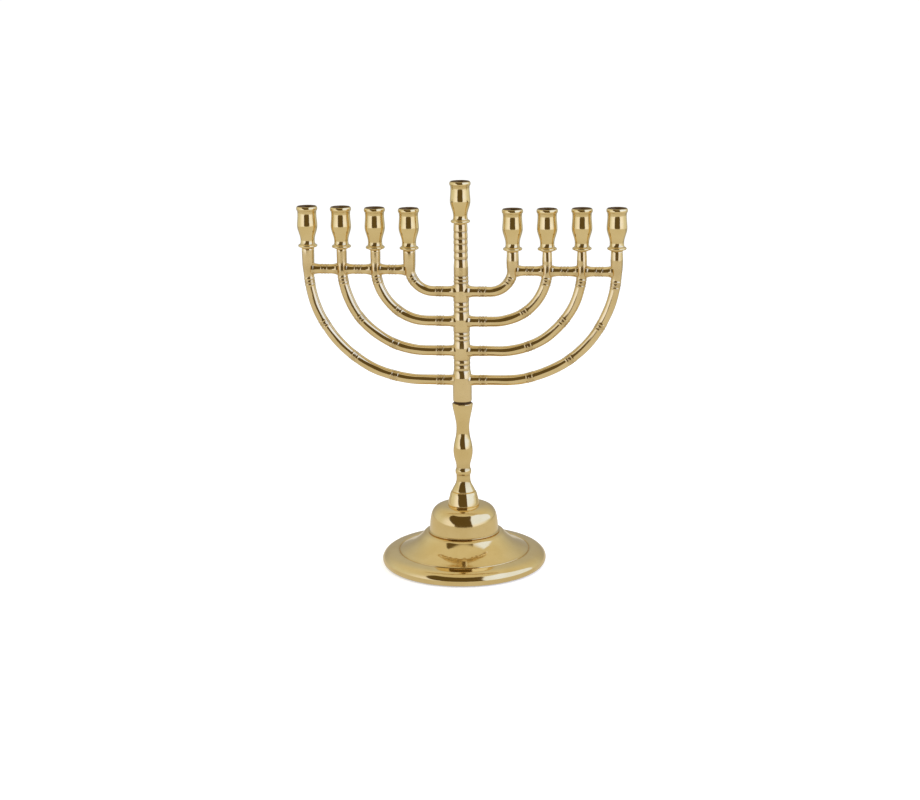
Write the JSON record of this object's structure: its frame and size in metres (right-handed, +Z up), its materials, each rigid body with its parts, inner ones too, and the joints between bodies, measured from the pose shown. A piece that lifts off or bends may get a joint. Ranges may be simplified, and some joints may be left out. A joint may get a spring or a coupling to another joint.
{
  "type": "menorah",
  "caption": "Polished brass Hanukkah menorah: a row of candle cups on bent arms, a raised centre cup, a turned stem and a domed round foot.",
  "frame": {"origin": "centre of the foot's underside, on the surface it stands on", "axes": "+Z up along the centre shaft, +X along the row of cups, -Y towards the viewer"},
  "size_m": [0.2448, 0.1244, 0.2908],
  "materials": {
    "base_brass": "mirror polished turned brass",
    "branch_brass": "polished brass with tarnish beside the knots and joints",
    "cup_brass": "mirror polished turned brass",
    "fastener_steel": "plain zinc-plated steel thread"
  },
  "bodies": {
    "base": {"base_foot": "base_brass", "base_dome": "base_brass", "dome_collar": "base_brass", "stem": "base_brass", "tie_rod": "fastener_steel", "base_washer": "fastener_steel", "base_nut": "fastener_steel"},
    "stem_stud": {"stem_stud": "fastener_steel"},
    "candelabra": {"centre_shaft": "branch_brass", "arm_left_1": "branch_brass", "arm_left_2": "branch_brass", "arm_left_3": "branch_brass", "arm_left_4": "branch_brass", "arm_right_1": "branch_brass", "arm_right_2": "branch_brass", "arm_right_3": "branch_brass", "arm_right_4": "branch_brass", "crossbar_left_1": "branch_brass", "crossbar_left_2": "branch_brass", "crossbar_left_3": "branch_brass", "crossbar_right_1": "branch_brass", "crossbar_right_2": "branch_brass", "crossbar_right_3": "branch_brass"},
    "stud_left_1": {"stud_left_1": "fastener_steel"},
    "cup_left_1": {"cup_left_1": "cup_brass"},
    "stud_left_2": {"stud_left_2": "fastener_steel"},
    "cup_left_2": {"cup_left_2": "cup_brass"},
    "stud_left_3": {"stud_left_3": "fastener_steel"},
    "cup_left_3": {"cup_left_3": "cup_brass"},
    "stud_left_4": {"stud_left_4": "fastener_steel"},
    "cup_left_4": {"cup_left_4": "cup_brass"},
    "stud_right_1": {"stud_right_1": "fastener_steel"},
    "cup_right_1": {"cup_right_1": "cup_brass"},
    "stud_right_2": {"stud_right_2": "fastener_steel"},
    "cup_right_2": {"cup_right_2": "cup_brass"},
    "stud_right_3": {"stud_right_3": "fastener_steel"},
    "cup_right_3": {"cup_right_3": "cup_brass"},
    "stud_right_4": {"stud_right_4": "fastener_steel"},
    "cup_right_4": {"cup_right_4": "cup_brass"},
    "stud_shamash": {"stud_shamash": "fastener_steel"},
    "cup_shamash": {"cup_shamash": "cup_brass"}
  },
  "joints": [
    {"name": "candelabra_rise", "type": "slide", "parent": "base", "child": "stem_stud", "axis": [0, 0, 1], "range_m": [0, 0.01]},
    {"name": "candelabra_turn", "type": "hinge", "parent": "stem_stud", "child": "candelabra", "pos_m": [0, 0, 0.1254], "axis": [0, 0, 1], "range_deg": [0, 2880]},
    {"name": "cup_left_1_rise", "type": "slide", "parent": "candelabra", "child": "stud_left_1", "axis": [0, 0, 1], "range_m": [0, 0.0063]},
    {"name": "cup_left_1_turn", "type": "hinge", "parent": "stud_left_1", "child": "cup_left_1", "pos_m": [-0.0384, 0, 0.2396], "axis": [0, 0, 1], "range_deg": [0, 3240]},
    {"name": "cup_left_2_rise", "type": "slide", "parent": "candelabra", "child": "stud_left_2", "axis": [0, 0, 1], "range_m": [0, 0.0063]},
    {"name": "cup_left_2_turn", "type": "hinge", "parent": "stud_left_2", "child": "cup_left_2", "pos_m": [-0.0638, 0, 0.2399], "axis": [0, 0, 1], "range_deg": [0, 3240]},
    {"name": "cup_left_3_rise", "type": "slide", "parent": "candelabra", "child": "stud_left_3", "axis": [0, 0, 1], "range_m": [0, 0.0063]},
    {"name": "cup_left_3_turn", "type": "hinge", "parent": "stud_left_3", "child": "cup_left_3", "pos_m": [-0.0892, 0, 0.2404], "axis": [0, 0, 1], "range_deg": [0, 3240]},
    {"name": "cup_left_4_rise", "type": "slide", "parent": "candelabra", "child": "stud_left_4", "axis": [0, 0, 1], "range_m": [0, 0.0063]},
    {"name": "cup_left_4_turn", "type": "hinge", "parent": "stud_left_4", "child": "cup_left_4", "pos_m": [-0.1146, 0, 0.2407], "axis": [0, 0, 1], "range_deg": [0, 3240]},
    {"name": "cup_right_1_rise", "type": "slide", "parent": "candelabra", "child": "stud_right_1", "axis": [0, 0, 1], "range_m": [0, 0.0063]},
    {"name": "cup_right_1_turn", "type": "hinge", "parent": "stud_right_1", "child": "cup_right_1", "pos_m": [0.0384, 0, 0.2396], "axis": [0, 0, 1], "range_deg": [0, 3240]},
    {"name": "cup_right_2_rise", "type": "slide", "parent": "candelabra", "child": "stud_right_2", "axis": [0, 0, 1], "range_m": [0, 0.0063]},
    {"name": "cup_right_2_turn", "type": "hinge", "parent": "stud_right_2", "child": "cup_right_2", "pos_m": [0.0638, 0, 0.2399], "axis": [0, 0, 1], "range_deg": [0, 3240]},
    {"name": "cup_right_3_rise", "type": "slide", "parent": "candelabra", "child": "stud_right_3", "axis": [0, 0, 1], "range_m": [0, 0.0063]},
    {"name": "cup_right_3_turn", "type": "hinge", "parent": "stud_right_3", "child": "cup_right_3", "pos_m": [0.0892, 0, 0.2404], "axis": [0, 0, 1], "range_deg": [0, 3240]},
    {"name": "cup_right_4_rise", "type": "slide", "parent": "candelabra", "child": "stud_right_4", "axis": [0, 0, 1], "range_m": [0, 0.0063]},
    {"name": "cup_right_4_turn", "type": "hinge", "parent": "stud_right_4", "child": "cup_right_4", "pos_m": [0.1146, 0, 0.2407], "axis": [0, 0, 1], "range_deg": [0, 3240]},
    {"name": "cup_shamash_rise", "type": "slide", "parent": "candelabra", "child": "stud_shamash", "axis": [0, 0, 1], "range_m": [0, 0.0063]},
    {"name": "cup_shamash_turn", "type": "hinge", "parent": "stud_shamash", "child": "cup_shamash", "pos_m": [0, 0, 0.2597], "axis": [0, 0, 1], "range_deg": [0, 3240]}
  ],
  "couplings": [
    {"joint": "candelabra_rise", "follows": "candelabra_turn", "m_per_rad": 0.00019892},
    {"joint": "cup_left_1_turn", "follows": "cup_left_1_rise", "rad_per_m": 8975.1},
    {"joint": "cup_left_2_turn", "follows": "cup_left_2_rise", "rad_per_m": 8975.1},
    {"joint": "cup_left_3_turn", "follows": "cup_left_3_rise", "rad_per_m": 8975.1},
    {"joint": "cup_left_4_turn", "follows": "cup_left_4_rise", "rad_per_m": 8975.1},
    {"joint": "cup_right_1_turn", "follows": "cup_right_1_rise", "rad_per_m": 8975.1},
    {"joint": "cup_right_2_turn", "follows": "cup_right_2_rise", "rad_per_m": 8975.1},
    {"joint": "cup_right_3_turn", "follows": "cup_right_3_rise", "rad_per_m": 8975.1},
    {"joint": "cup_right_4_turn", "follows": "cup_right_4_rise", "rad_per_m": 8975.1},
    {"joint": "cup_shamash_turn", "follows": "cup_shamash_rise", "rad_per_m": 8975.1}
  ]
}
